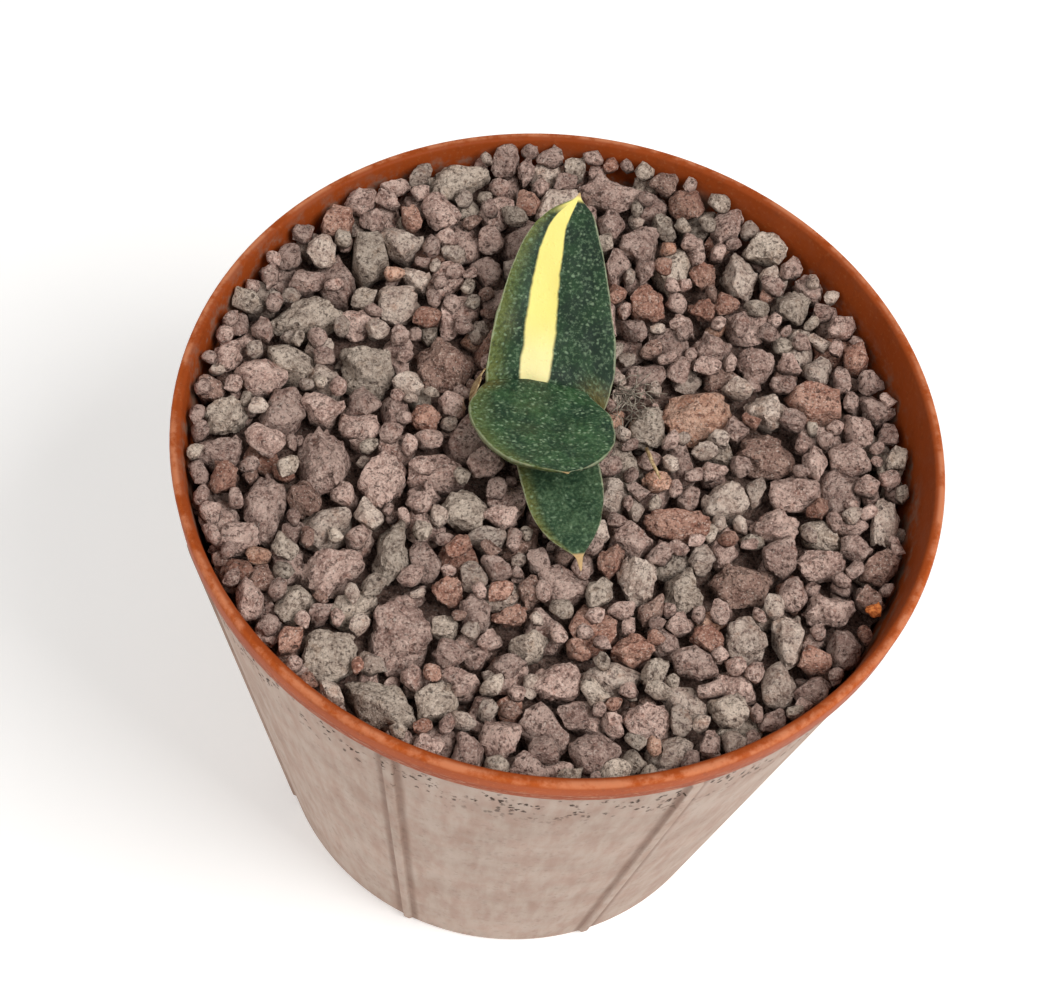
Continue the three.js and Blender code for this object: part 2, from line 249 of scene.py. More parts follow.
class Finish:
    """A procedural material, built a node at a time. Lengths are in metres."""

    def __init__(self, name):
        self.material = bpy.data.materials.new(name)
        self.material.use_nodes = True
        self.tree = self.material.node_tree
        self.shader = self.tree.nodes["Principled BSDF"]
        self.place = self.node("ShaderNodeTexCoord").outputs["Object"]

    def put(self, socket, value):
        if isinstance(value, bpy.types.NodeSocket):
            self.tree.links.new(value, socket)
        elif isinstance(value, str):
            socket.default_value = linear(value)
        else:
            socket.default_value = value

    def node(self, kind, inputs=None, **settings):
        node = self.tree.nodes.new(kind)
        for key, value in settings.items():
            setattr(node, key, value)
        for key, value in (inputs or {}).items():
            self.put(node.inputs[key], value)
        return node

    def maths(self, operation, a, b=0.0, c=0.0, clamp=False):
        node = self.node("ShaderNodeMath", {0: a, 1: b, 2: c}, operation=operation, use_clamp=clamp)
        return node.outputs[0]

    def times(self, *values):
        result = values[0]
        for value in values[1:]:
            result = self.maths("MULTIPLY", result, value)
        return result

    def plus(self, *values):
        result = values[0]
        for value in values[1:]:
            result = self.maths("ADD", result, value)
        return result

    def less(self, value):
        """One less the value."""
        return self.maths("SUBTRACT", 1.0, value, clamp=True)

    def vector(self, operation, a, b):
        return self.node("ShaderNodeVectorMath", {0: a, 1: b}, operation=operation).outputs["Vector"]

    def combined(self, x, y, z):
        return self.node("ShaderNodeCombineXYZ", {0: x, 1: y, 2: z}).outputs[0]

    def bent(self, place, size, reach, detail=3.0):
        """The place pushed about by noise of that size, by up to the reach along each axis."""
        push = self.vector("MULTIPLY", self.noise(size, place, detail, colour=True), reach)
        return self.vector("ADD", place, push)

    def blend(self, factor, a, b, how="MIX"):
        node = self.node("ShaderNodeMix", data_type="RGBA", blend_type=how, clamp_factor=True)
        for index, value in ((0, factor), (6, a), (7, b)):
            self.put(node.inputs[index], value)
        return node.outputs[2]

    def between(self, value, low, high):
        """Runs smoothly from none to one as the value goes from low to high."""
        node = self.node("ShaderNodeMapRange", {0: value, 1: low, 2: high}, interpolation_type="SMOOTHSTEP")
        return node.outputs[0]

    def noise(self, size, place=None, detail=3.0, roughness=0.55, colour=False):
        node = self.node("ShaderNodeTexNoise", {
            "Vector": self.place if place is None else place,
            "Scale": 1 / size, "Detail": detail, "Roughness": roughness})
        return node.outputs["Color" if colour else "Fac"]

    def cells(self, size, place=None, randomness=1.0):
        node = self.node("ShaderNodeTexVoronoi", {
            "Vector": self.place if place is None else place,
            "Scale": 1 / size, "Randomness": randomness})
        return node.outputs["Distance"], self.parts(node.outputs["Color"])

    def scaled(self, place, scale):
        return self.node("ShaderNodeMapping", {"Vector": place, "Scale": scale}).outputs[0]

    def attribute(self, name, part="Fac"):
        return self.node("ShaderNodeAttribute", attribute_name=name).outputs[part]

    def parts(self, vector):
        return self.node("ShaderNodeSeparateXYZ", {0: vector}).outputs

    def bump(self, height, distance, strength=1.0, onto=None):
        inputs = {"Height": height, "Distance": distance, "Strength": strength}
        if onto is not None:
            inputs["Normal"] = onto
        return self.node("ShaderNodeBump", inputs).outputs[0]

    def end(self, colour, roughness, normal=None, **constants):
        self.put(self.shader.inputs["Base Color"], colour)
        self.put(self.shader.inputs["Roughness"], roughness)
        if normal is not None:
            self.put(self.shader.inputs["Normal"], normal)
        for key, value in constants.items():
            self.shader.inputs[key.replace("_", " ")].default_value = value
        return self.material


def terracotta_plastic(settings):
    """Moulded plastic: orange-brown, with lime haze, a painted pale reflection and dust outside, grimy
    inside, with painted shade and highlights.
    """
    f = Finish("terracotta_plastic")
    x, y, z = f.parts(f.place)
    length = f.node("ShaderNodeVectorMath", {0: f.combined(x, y, 0.0)}, operation="LENGTH")
    radius = length.outputs["Value"]
    wall = f.maths("MULTIPLY_ADD", z, WALL_SLOPE, FOOT_RADIUS * MM)
    beyond = f.maths("SUBTRACT", radius, wall)
    outside = f.between(beyond, -0.9 * MM, -0.3 * MM)
    inside = f.less(outside)
    broad = f.noise(9 * MM, detail=4)
    cloudy = f.noise(3.2 * MM, detail=6, roughness=0.65)
    fine = f.noise(0.5 * MM, detail=3)
    streaks = f.noise(1.6 * MM, f.scaled(f.place, (1, 1, 0.06)), detail=4)
    colour = f.blend(broad, opaque(settings.terracotta_deep), opaque(settings.terracotta))
    colour = f.blend(f.times(f.between(fine, 0.55, 0.75), 0.30), colour, "d08450")
    # Painted reflection of the white surroundings, with lime haze and dust, on the wall below the collar.
    below = f.between(z, (COLLAR_BOTTOM + 0.15) * MM, (COLLAR_BOTTOM - 0.2) * MM)
    patchy = f.between(f.plus(f.times(cloudy, 0.5), f.times(streaks, 0.5)), 0.38, 0.60)
    haze = f.times(outside, below, f.maths("MULTIPLY_ADD", patchy, 0.10, 0.83))
    drift = f.plus(f.times(streaks, 0.5), f.times(broad, 0.5))
    grey = f.blend(f.between(drift, 0.27, 0.73), opaque(settings.haze_deep), opaque(settings.haze))
    colour = f.blend(haze, colour, grey)
    # Darker brown along both flanks of each rib.
    angle = f.plus(f.maths("ARCTAN2", y, x), RIB_TURN / 2 - FIRST_RIB + 2 * math.pi)
    aside = f.maths("SUBTRACT", f.maths("MODULO", angle, RIB_TURN), RIB_TURN / 2)
    aside = f.times(f.maths("ABSOLUTE", aside), radius)
    flank = f.times(f.between(aside, 2.0 * MM, 1.2 * MM), f.between(aside, 0.5 * MM, 0.9 * MM))
    flank = f.times(flank, outside, below, f.maths("MULTIPLY_ADD", cloudy, 0.7, 0.15))
    colour = f.blend(flank, colour, "6a4736")
    # The collar's side is painted deeper than the lip, as shade on a side face, with level scratches.
    collar = f.times(outside, f.between(z, 79.9 * MM, 79.0 * MM), f.between(z, 77.4 * MM, 77.9 * MM))
    colour = f.blend(f.times(collar, 0.70), colour, "8e3c12")
    scratches = f.noise(1.5 * MM, f.scaled(f.place, (1, 1, 9)), detail=4)
    colour = f.blend(f.times(collar, f.between(scratches, 0.54, 0.62), 0.55), colour, "c89a7c")
    # Soil flecks, in a loose band under the collar.
    bend = f.vector("MULTIPLY", f.noise(0.8 * MM, colour=True), (1.3 * MM, 1.3 * MM, 1.3 * MM))
    distance, pick_of = f.cells(0.75 * MM, f.vector("ADD", f.scaled(f.place, (1, 1, 0.55)), bend))
    fleck = f.times(f.between(distance, 0.50, 0.26), f.between(pick_of[0], 0.42, 0.50),
                    f.between(f.noise(3 * MM, detail=3), 0.44, 0.54))
    band = f.times(outside, f.between(z, 77.6 * MM, 75.4 * MM), f.between(z, 65 * MM, 72.5 * MM))
    fleck = f.times(fleck, f.maths("MULTIPLY_ADD", band, 0.85, 0.12))
    colour = f.blend(fleck, colour, "3b2a20")
    # Grey grime inside, thickest where the gravel meets the wall.
    depth = f.maths("MULTIPLY_ADD", x, -0.055, 80.0 * MM)
    near = f.between(f.maths("SUBTRACT", z, depth), 0.4 * MM, -2.5 * MM)
    grime = f.times(inside, f.maths("MULTIPLY_ADD", near, 0.75, 0.06), f.between(cloudy, 0.44, 0.64))
    # The inside is painted darker all over, as shade in the pot.
    colour = f.blend(f.times(inside, 0.45), colour, "6a2a10")
    colour = f.blend(grime, colour, f.blend(fine, "6f5b4e", "94806f"))
    # The lip, with painted highlights in patches.
    lip = f.times(f.between(z, 81.3 * MM, 81.85 * MM), f.between(beyond, -1.2 * MM, -0.7 * MM))
    colour = f.blend(f.times(lip, f.between(cloudy, 0.40, 0.60), 0.55), colour, "d98f68")
    scuffs = f.noise(0.9 * MM, f.scaled(f.place, (1, 1, 3)), detail=6, roughness=0.7)
    roughness = f.plus(f.maths("MULTIPLY_ADD", haze, 0.30, 0.38), f.times(scuffs, 0.18))
    height = f.plus(f.times(cloudy, 0.5), f.times(fine, 0.3), f.times(fleck, 0.9))
    normal = f.bump(height, 0.09 * MM, 0.55)
    normal = f.bump(broad, 0.5 * MM, 0.35, onto=normal)
    return f.end(colour, roughness, normal, Specular_IOR_Level=0.06)


def stone_finish(name, base, light, dark, warm):
    """Porous lava stone: mottled, finely speckled, pitted, with painted shade low down and in its holes."""
    f = Finish(name)
    seed = f.attribute("stone_seed")
    place = f.vector("ADD", f.place, f.combined(seed, f.times(seed, 1.7), f.times(seed, -0.6)))
    mottle = f.noise(2.6 * MM, place, detail=4)
    blotch = f.noise(1.7 * MM, place, detail=3)
    grain = f.noise(0.60 * MM, place, detail=4, roughness=0.7)
    speck = f.noise(0.28 * MM, place, detail=2)
    colour = f.blend(f.between(mottle, 0.36, 0.66), base, light)
    colour = f.blend(f.times(f.between(blotch, 0.56, 0.7), 0.5), colour, warm)
    colour = f.blend(f.times(f.between(grain, 0.52, 0.64), 0.85), colour, light)
    colour = f.blend(f.times(f.between(grain, 0.49, 0.36), 0.85), colour, dark)
    colour = f.blend(f.times(f.between(speck, 0.57, 0.68), 0.45), colour, "e3d5c8")
    colour = f.blend(f.times(f.between(speck, 0.42, 0.32), 0.45), colour, "2e2420")
    # Small gas holes of two sizes, painted dark as the shade in them.
    torn = f.bent(place, 0.7 * MM, (0.9 * MM, 0.9 * MM, 0.9 * MM), detail=2)
    distance, pick_of = f.cells(1.3 * MM, torn)
    big_hole = f.times(f.between(distance, 0.30, 0.14), f.between(pick_of[0], 0.78, 0.84))
    distance, pick_of = f.cells(0.6 * MM, torn)
    small_hole = f.times(f.between(distance, 0.34, 0.16), f.between(pick_of[1], 0.62, 0.70))
    holes = f.maths("MAXIMUM", f.times(big_hole, 0.9), f.times(small_hole, 0.6))
    colour = f.blend(f.times(holes, 0.75), colour, "3d2a22")
    # Painted shade on the lower flanks, where the stones meet.
    lower_shade = f.between(f.plus(f.attribute("stone_height"), f.times(grain, 0.2)), 0.70, 0.28)
    colour = f.blend(f.times(lower_shade, 0.80), colour, "2b1f19")
    shade = f.maths("MULTIPLY_ADD", f.attribute("stone_shade"), 0.30, 1.22)
    colour = f.blend(1.0, colour, f.combined(shade, shade, shade), "MULTIPLY")
    crags = f.noise(1.4 * MM, place, detail=5, roughness=0.68)
    height = f.maths("SUBTRACT", f.plus(f.times(grain, 0.7), f.times(crags, 2.8)), f.times(holes, 0.8))
    return f.end(colour, 0.92, f.bump(height, 0.60 * MM, 1.0), Specular_IOR_Level=0.25)


# The lightest, darkest and warmest colour of each tint of stone; its main colour is a setting.
STONE_COLOURS = {
    "mauve": ("cbaea1", "5c453d", "9a6c5c"),
    "grey": ("c6b5a5", "5e5046", "9a7f6a"),
    "pale": ("d0bdae", "75615a", "b18a74"),
    "dark": ("a98a7c", "463229", "7d5546"),
    "rust": ("bd9482", "5f3d31", "94604c"),
    "tan": ("dab19a", "7d5545", "bf7c5c"),
}


def leaf_flesh(name, settings, deep, fresh, olive, spot_size, spot_share, dense=False):
    """Thick satin leaf: specks in loose rows, a thin pale horny margin and a small point."""
    f = Finish(name)
    striped = name == "striped_leaf_flesh"
    local = f.attribute("leaf_mm", "Vector")
    across, along, up = f.parts(local)
    side = f.attribute("leaf_side")
    run = f.attribute("leaf_run")
    broad = f.noise(4.5, local, detail=4)
    fine = f.noise(0.45, local, detail=4, roughness=0.65)
    colour = f.blend(f.between(broad, 0.35, 0.68), deep, fresh)
    # Olive to the left margin and the base; a leaf turned to the front has its left on the other side.
    leftward = side if striped else f.times(side, -1.0)
    flush = f.between(f.plus(leftward, f.times(broad, 0.3)), -0.42, -0.90)
    colour = f.blend(f.times(flush, 0.85), colour, olive)
    corner = f.times(f.between(along, 3.4, 0.4), f.between(side, 0.35, 0.95))
    colour = f.blend(f.times(corner, 0.8), colour, "6b5a2c")
    # Specks.
    colour = f.blend(f.times(f.between(fine, 0.50, 0.66), 0.30), colour, "86a07c")
    colour = f.blend(f.times(f.between(fine, 0.50, 0.36), 0.55), colour, "14261a")
    flat = f.combined(across, f.times(along, 1.12), f.times(up, 0.35))
    distance, pick_of = f.cells(spot_size, f.bent(flat, 1.1, (0.9, 0.7, 0)), randomness=0.90)
    size = f.maths("MULTIPLY_ADD", pick_of[1], 0.24, 0.11)
    spot = f.between(f.maths("SUBTRACT", distance, size), 0.20, -0.20)
    spot = f.times(spot, f.between(pick_of[0], 1 - spot_share, 1 - spot_share + 0.08))
    patch = f.between(f.noise(3.4, local, detail=2), 0.30, 0.50)
    spot = f.times(spot, f.maths("MULTIPLY_ADD", patch, 0.55, 0.45))
    colour = f.blend(f.times(spot, 0.66 if dense else 0.46), colour, opaque(settings.speck_colour))
    if striped:
        wander = f.times(f.maths("SUBTRACT", f.noise(3.0, local, detail=3), 0.5), 0.10)
        left = f.between(f.plus(side, wander, f.times(run, 0.09)), -0.50, -0.44)
        right = f.between(f.plus(side, wander), 0.03, -0.03)
        near_tip = f.between(run, 0.88, 0.97)
        left = f.maths("MAXIMUM", left, f.times(near_tip, f.between(side, -1.0, -0.7)))
        band = f.maths("MAXIMUM", f.times(left, right), f.between(run, 0.965, 0.99))
        band = f.times(band, f.between(up, -0.9, -0.35))
        streak = f.noise(0.5, f.combined(across, f.times(along, 0.07), 0.0))
        yellow = f.blend(f.between(run, 0.02, 0.4), "f8eaa8", opaque(settings.stripe_colour))
        yellow = f.blend(f.times(f.between(streak, 0.62, 0.74), 0.35), yellow, "d8d684")
        colour = f.blend(band, colour, yellow)
    ragged = f.times(f.maths("SUBTRACT", f.noise(0.8, local, detail=3), 0.5), 0.06)
    margin = f.between(f.plus(f.maths("ABSOLUTE", side), ragged), 0.972, 0.992)
    colour = f.blend(f.times(margin, 0.42), colour, "b9bf9c")
    colour = f.blend(f.between(run, 0.99, 1.01), colour, "c9a777")
    height = f.plus(f.times(spot, 0.5), f.times(fine, 0.45), f.times(margin, 0.4))
    normal = f.bump(height, 0.10 * MM, 0.7)
    normal = f.bump(broad, 0.45 * MM, 0.30, onto=normal)
    roughness = f.plus(f.maths("MULTIPLY_ADD", fine, 0.22, 0.36), f.times(spot, 0.12))
    return f.end(colour, roughness, normal, Specular_IOR_Level=0.25,
                 Subsurface_Weight=0.06, Subsurface_Scale=0.002)


def dry_papery():
    f = Finish("dry_matter")
    fibres = f.noise(0.35 * MM, f.scaled(f.place, (1, 1, 0.12)), detail=4)
    blotch = f.noise(1.4 * MM, detail=3)
    colour = f.blend(f.between(fibres, 0.35, 0.65), "8b6b45", "cdb58a")
    colour = f.blend(f.times(f.between(blotch, 0.55, 0.68), 0.6), colour, "6b4a30")
    return f.end(colour, 0.8, f.bump(fibres, 0.12 * MM, 0.7), Specular_IOR_Level=0.3)


def root_hair():
    f = Finish("root_hair")
    change = f.noise(0.9 * MM, detail=3)
    colour = f.blend(f.between(change, 0.35, 0.65), "5d554b", "b3a998")
    return f.end(colour, 0.85, f.bump(change, 0.05 * MM, 0.5), Specular_IOR_Level=0.2)


def root_flesh():
    f = Finish("root_flesh")
    wrinkle = f.noise(0.8 * MM, f.scaled(f.place, (1, 1, 2.5)), detail=4)
    colour = f.blend(f.between(wrinkle, 0.35, 0.65), "8a6a45", "bfa27a")
    return f.end(colour, 0.75, f.bump(wrinkle, 0.3 * MM, 0.7), Specular_IOR_Level=0.3)


def crumb_finish():
    f = Finish("terracotta_crumb")
    grain = f.noise(0.35 * MM, detail=4)
    colour = f.blend(f.between(grain, 0.35, 0.65), "a34e20", "dd8444")
    return f.end(colour, 0.85, f.bump(grain, 0.2 * MM, 0.8), Specular_IOR_Level=0.3)


def mix_finish():
    """Loose dark grit and peat."""
    f = Finish("growing_mix")
    lumps = f.noise(1.6 * MM, detail=5, roughness=0.65)
    _, pick_of = f.cells(1.3 * MM)
    colour = f.blend(f.between(lumps, 0.35, 0.65), "2c211a", "47372b")
    colour = f.blend(f.times(f.between(pick_of[0], 0.86, 0.9), 0.5), colour, "8a786a")
    return f.end(colour, 0.95, f.bump(lumps, 0.8 * MM, 0.9), Specular_IOR_Level=0.2)


# ---- pot ----------------------------------------------------------------------------------

def build_pot(settings):
    around = settings.pot_segments
    pot = turn_wall(around)

    def on_rib(face):
        middle = face.calc_center_median()
        if not 20 * MM < middle.z < 60 * MM:
            return False
        if middle.xy.length <= (outer_radius(middle.z / MM) - 0.6) * MM:
            return False
        turn = math.atan2(middle.y, middle.x) - FIRST_RIB
        return abs((turn + RIB_TURN / 2) % RIB_TURN - RIB_TURN / 2) < math.pi / around

    ribs = pick(pot, on_rib, "faces")
    if ribs != RIBS:
        raise RuntimeError(f"the pot has {ribs} ribs, and it should have {RIBS}")
    bpy.ops.mesh.inset(thickness=0.12 * MM, depth=settings.rib_height, use_individual=True)
    bpy.ops.object.mode_set(mode="OBJECT")
    for i in range(DRAIN_HOLES):
        turn = 2 * math.pi * i / DRAIN_HOLES
        clear_selection()
        place = (DRAIN_CIRCLE * math.cos(turn) * MM, DRAIN_CIRCLE * math.sin(turn) * MM, FLOOR_TOP * MM)
        bpy.ops.mesh.primitive_cylinder_add(vertices=40, radius=settings.drain_radius, depth=6 * MM,
                                            location=place)
        punch = added("punch")
        bpy.ops.object.transform_apply(location=True, rotation=True, scale=True)
        add_modifier(pot, "BOOLEAN", object=punch, operation="DIFFERENCE", solver="EXACT")
        bpy.data.objects.remove(punch)
    add_modifier(pot, "BEVEL", width=0.22 * MM, segments=2, limit_method="ANGLE",
                 angle_limit=math.radians(28))
    face_outwards(pot)
    settle(pot, terracotta_plastic(settings), angle=35)
    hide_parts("pot")


def turn_wall(around):
    """The pot's foot, wall, collar, lip and inside, drawn out ring by ring; it is left in edit mode."""
    profile = [(28.4, 2.2), (29.2, 0), (FOOT_RADIUS - 0.4, 0), (outer_radius(0.6), 0.6),
               (outer_radius(COLLAR_BOTTOM - 0.1), COLLAR_BOTTOM - 0.1), (47.15, COLLAR_BOTTOM + 0.35),
               (47.5, POT_HEIGHT - 0.5), (47.25, POT_HEIGHT), (46.35, POT_HEIGHT),
               (46.1, POT_HEIGHT - 0.35), (inner_radius(COLLAR_BOTTOM), COLLAR_BOTTOM),
               (inner_radius(40), 40), (inner_radius(FLOOR_TOP + 1.2), FLOOR_TOP + 1.2),
               (inner_radius(FLOOR_TOP) - 1.2, FLOOR_TOP)]
    clear_selection()
    radius, height = profile[0]
    # A column of faces is centred on the first rib.
    start = FIRST_RIB + math.pi / around
    bpy.ops.mesh.primitive_circle_add(vertices=around, radius=radius * MM, fill_type="NGON",
                                      location=(0, 0, height * MM), rotation=(0, 0, start + math.pi / 2))
    pot = added("nursery_pot")
    bpy.ops.object.transform_apply(location=True, rotation=True, scale=True)
    bpy.ops.object.mode_set(mode="EDIT")
    bpy.ops.mesh.select_mode(type="FACE")
    bpy.ops.mesh.select_all(action="SELECT")
    for next_radius, next_height in profile[1:]:
        grow = next_radius / radius
        extrude_to((0, 0, next_height - height), (grow, grow, 1), (0, 0, next_height))
        radius, height = next_radius, next_height
    bpy.ops.mesh.select_all(action="SELECT")
    bpy.ops.mesh.normals_make_consistent(inside=False)
    return pot


# ---- stones -------------------------------------------------------------------------------

MOULDS = {"fine": [], "plain": [], "small": []}


def cut_mould(random_source, number, subdivisions):
    """One stone of unit size: a ball with flats pressed on it, then roughened."""
    clear_selection()
    bpy.ops.mesh.primitive_ico_sphere_add(subdivisions=subdivisions, radius=1)
    stone = added(f"mould_{subdivisions}_{number:02d}")
    bpy.ops.object.mode_set(mode="EDIT")
    bpy.ops.mesh.select_mode(type="VERT")
    flats = [Vector((0, 0, 1)), Vector((0.1, 0, -1)).normalized()]
    while len(flats) < 13:
        flat = Vector([random_source.gauss(0, 1) for _ in range(3)]).normalized()
        if all(flat.dot(other) < 0.83 for other in flats):
            flats.append(flat)
        elif random_source.random() < 0.02:
            break
    for flat in flats:
        depth = random_source.uniform(0.56, 0.80)
        if pick(stone, lambda vert: vert.co.dot(flat) > depth) > 2:
            bpy.ops.transform.resize(value=(1, 1, 0), orient_type="GLOBAL", orient_matrix_type="GLOBAL",
                                     orient_matrix=flat.to_track_quat("Z", "Y").to_matrix(),
                                     center_override=flat * depth)
    bpy.ops.object.mode_set(mode="OBJECT")
    # Each is moved, so that the patterns meet it elsewhere.
    stone.location = (number * 3.7, number * 1.9, 0)
    take(stone)
    bpy.ops.object.transform_apply(location=True)
    displace(stone, ripples("stone_lumps", "CLOUDS", 0.62, noise_depth=2), 0.40)
    if subdivisions > 2:
        displace(stone, ripples("stone_roughness", "CLOUDS", 0.22, noise_depth=3), 0.26)
    points = points_of(stone.data)
    low, high = points.min(axis=0), points.max(axis=0)
    put_points(stone.data, (points - (low + high) / 2) / (high - low))
    mesh = stone.data
    bpy.data.objects.remove(stone)
    return mesh


def build_moulds(settings):
    random_source = random.Random(settings.seed)
    for number in range(settings.mould_count):
        for grade, subdivisions in (("fine", 4), ("plain", 3), ("small", 2)):
            MOULDS[grade].append(cut_mould(random_source, number, subdivisions))


STONE_FINISHES = {}


def finish_for(settings, tint):
    """The finish of stones of that tint, made when it is first asked for."""
    if tint not in STONE_FINISHES:
        base = opaque(getattr(settings, f"{tint}_stone"))
        STONE_FINISHES[tint] = stone_finish(f"lava_{tint}", base, *STONE_COLOURS[tint])
    return STONE_FINISHES[tint]


def check_moulds():
    if not MOULDS["plain"]:
        raise RuntimeError("the stone shapes have to be cut first")


def stone_from(mould, name, seed, shade):
    mesh = mould.copy()
    mesh.name = name
    stone = bpy.data.objects.new(name, mesh)
    bpy.context.scene.collection.objects.link(stone)
    count = len(mesh.vertices)
    write_attribute(mesh, "stone_seed", "FLOAT", np.full(count, seed))
    write_attribute(mesh, "stone_shade", "FLOAT", np.full(count, shade))
    write_attribute(mesh, "stone_height", "FLOAT", points_of(mesh)[:, 2] + 0.5)
    return stone


def build_stones(settings):
    check_moulds()
    random_source = random.Random(settings.seed + 1)
    for number, node in enumerate(STONE_NODES):
        points = points_of(frame["nodes"][node].data)
        middle = points.mean(axis=0)
        directions = np.linalg.eigh(np.cov((points - middle)[:, :2].T))[1]
        turn = math.atan2(directions[1, 1], directions[0, 1])
        along = np.array([math.cos(turn), math.sin(turn)])
        across = np.array([-along[1], along[0]])
        lengths = [np.ptp(points[:, :2] @ way) for way in (along, across)] + [np.ptp(points[:, 2])]
        centre = Vector([(points[:, k].min() + points[:, k].max()) / 2 for k in range(3)])
        mould = MOULDS["fine"][number % len(MOULDS["fine"])]
        seed = random_source.uniform(0, 0.5)
        shade = random_source.uniform(-0.5, 0.7)
        stone = stone_from(mould, f"lava_{node}", seed, shade)
        stone.matrix_world = (Matrix.Translation(centre) @ Matrix.Rotation(turn, 4, "Z")
                              @ Matrix.Diagonal([*(length * FULLER for length in lengths), 1]))
        slot = NODE_SLOTS[node]
        settle(stone, finish_for(settings, slot.replace("gravel_", "")), angle=50)
        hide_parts(node)


class Bed:
    """Height of what lies in the pot so far, on a fine grid, and what hangs above it. Millimetres."""

    step = 0.3
    half = 46.0

    def __init__(self):
        count = int(2 * self.half / self.step) + 1
        line = np.linspace(-self.half, self.half, count)
        self.x, self.y = np.meshgrid(line, line, indexing="ij")
        self.top = gravel_level(self.x, self.y) - BED_DEPTH
        self.ceiling = np.full_like(self.top, 99.0)

    def cells_in(self, low, high):
        """The grid's cells from the low corner to the high one, which are in metres."""
        starts = [int((v / MM + self.half) / self.step) for v in low[:2]]
        stops = [int((v / MM + self.half) / self.step) + 2 for v in high[:2]]
        return range(starts[0], stops[0]), range(starts[1], stops[1])

    def scan(self, name, down):
        """Adds a frame solid: its top to the bed, or its underside to the ceiling."""
        mesh = frame["nodes"][name].data
        tree = BVHTree.FromPolygons([vert.co for vert in mesh.vertices],
                                    [face.vertices for face in mesh.polygons])
        rows, columns = self.cells_in(*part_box(name))
        for i, j in itertools.product(rows, columns):
            x, y = self.x[i, j], self.y[i, j]
            start = (x * MM, y * MM, 0.2 if down else 0.0)
            place = tree.ray_cast(start, (0, 0, -1 if down else 1))[0]
            if place and down:
                self.top[i, j] = max(self.top[i, j], place.z / MM)
                self.ceiling[i, j] = min(self.ceiling[i, j], gravel_level(x, y) - COVER_DEPTH)
            elif place:
                self.ceiling[i, j] = min(self.ceiling[i, j], place.z / MM)

    def lay(self, dice, mould, half_sizes, turn, nearest, tries):
        """Puts a stone on the lowest of the random places where it fits; gives its place, or none."""
        reach, solid, top, under = raster(mould, half_sizes, turn, self.step)
        best = None
        for _ in range(tries):
            away = math.sqrt(dice.uniform(nearest ** 2, BED_REACH ** 2))
            angle = dice.uniform(0, 2 * math.pi)
            x, y = away * math.cos(angle), away * math.sin(angle)
            outward = math.hypot(half_sizes[0] * math.cos(turn - angle),
                                 half_sizes[1] * math.sin(turn - angle))
            level = gravel_level(x, y)
            if away + outward * 0.95 > inner_radius(level - 1):
                continue
            i, j = (int(round((v + self.half) / self.step)) for v in (x, y))
            area = (slice(i - reach, i + reach + 1), slice(j - reach, j + reach + 1))
            if self.top[area].shape != solid.shape:
                continue
            # It sinks a little into what carries it.
            z = np.max((self.top[area] - under)[solid]) - 0.03 * half_sizes[0] - 0.05
            proud = z + half_sizes[2] - level
            if proud > 1.4 + 0.9 * (away / 45) ** 3:
                continue
            if np.any((z + top)[solid] > self.ceiling[area][solid] - 0.1):
                continue
            if best is None or proud < best[0]:
                best = (proud, (x, y, z), area)
        if best is None:
            return None
        _, place, area = best
        self.top[area] = np.where(solid, np.maximum(self.top[area], place[2] + top), self.top[area])
        return place


def raster(mesh, half_sizes, turn, step):
    """The top and underside of a stone of that size, as offsets from its middle on the grid."""
    points = points_of(mesh)
    ends = np.empty(2 * len(mesh.edges), dtype=np.int32)
    mesh.edges.foreach_get("vertices", ends)
    middles = points[ends.reshape(-1, 2)].mean(axis=1)
    points = np.concatenate([points, middles]) * (2 * np.array(half_sizes))
    cos, sin = math.cos(turn), math.sin(turn)
    x = points[:, 0] * cos - points[:, 1] * sin
    y = points[:, 0] * sin + points[:, 1] * cos
    reach = int(max(np.abs(x).max(), np.abs(y).max()) / step) + 1
    size = 2 * reach + 1
    top = np.full((size, size), -np.inf)
    under = np.full((size, size), np.inf)
    i = np.rint(x / step).astype(int) + reach
    j = np.rint(y / step).astype(int) + reach
    np.maximum.at(top, (i, j), points[:, 2])
    np.minimum.at(under, (i, j), points[:, 2])
    solid = np.isfinite(top) & (top > under)
    return reach, solid, top, under


def build_gravel(settings):
    check_moulds()
    bed = Bed()
    for node in STONE_NODES + ["pot_crumb"]:
        bed.scan(node, down=True)
    for node in ("leaf_young", "leaf_striped", "leaf_old", "dry_sheath"):
        bed.scan(node, down=False)
    # No stone lies where the leaves come out.
    bed.top[np.hypot(bed.x + 3.2, bed.y - 6.5) < 5.0] = 99
    dice = np.random.default_rng(settings.seed + 5)
    tints = list(GRAVEL_SHARES)
    shares = np.array(list(GRAVEL_SHARES.values()))
    groups = {tint: [] for tint in tints}
    for count, smallest, largest, nearest in GRAVEL_ROUNDS:
        misses = 0
        for _ in range(count):
            kind = int(dice.integers(len(MOULDS["plain"])))
            length = dice.uniform(smallest, largest)
            half_sizes = (length, length * dice.uniform(0.62, 0.92), length * dice.uniform(0.6, 0.9))
            turn = dice.uniform(0, 2 * math.pi)
            place = bed.lay(dice, MOULDS["plain"][kind], half_sizes, turn, nearest, settings.gravel_tries)
            if place is None:
                misses += 1
                if misses > MISSES_ALLOWED:
                    break
                continue
            tint = tints[int(dice.choice(len(tints), p=shares))]
            seed, shade = dice.uniform(0, 0.5), dice.uniform(-1, 1)
            tip, lean = dice.uniform(-0.12, 0.12), dice.uniform(-0.12, 0.12)
            groups[tint].append((kind, half_sizes, turn, place, seed, shade, tip, lean))
    for tint, group in groups.items():
        for first in range(0, len(group), STONES_IN_A_PIECE):
            gravel = join_stones(group[first:first + STONES_IN_A_PIECE])
            number = first // STONES_IN_A_PIECE + 1
            gravel.name = gravel.data.name = f"fine_gravel_{tint}_{number}"
            settle(gravel, finish_for(settings, tint), angle=50)
            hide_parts("gravel_bed")
    build_gravel_core(settings)


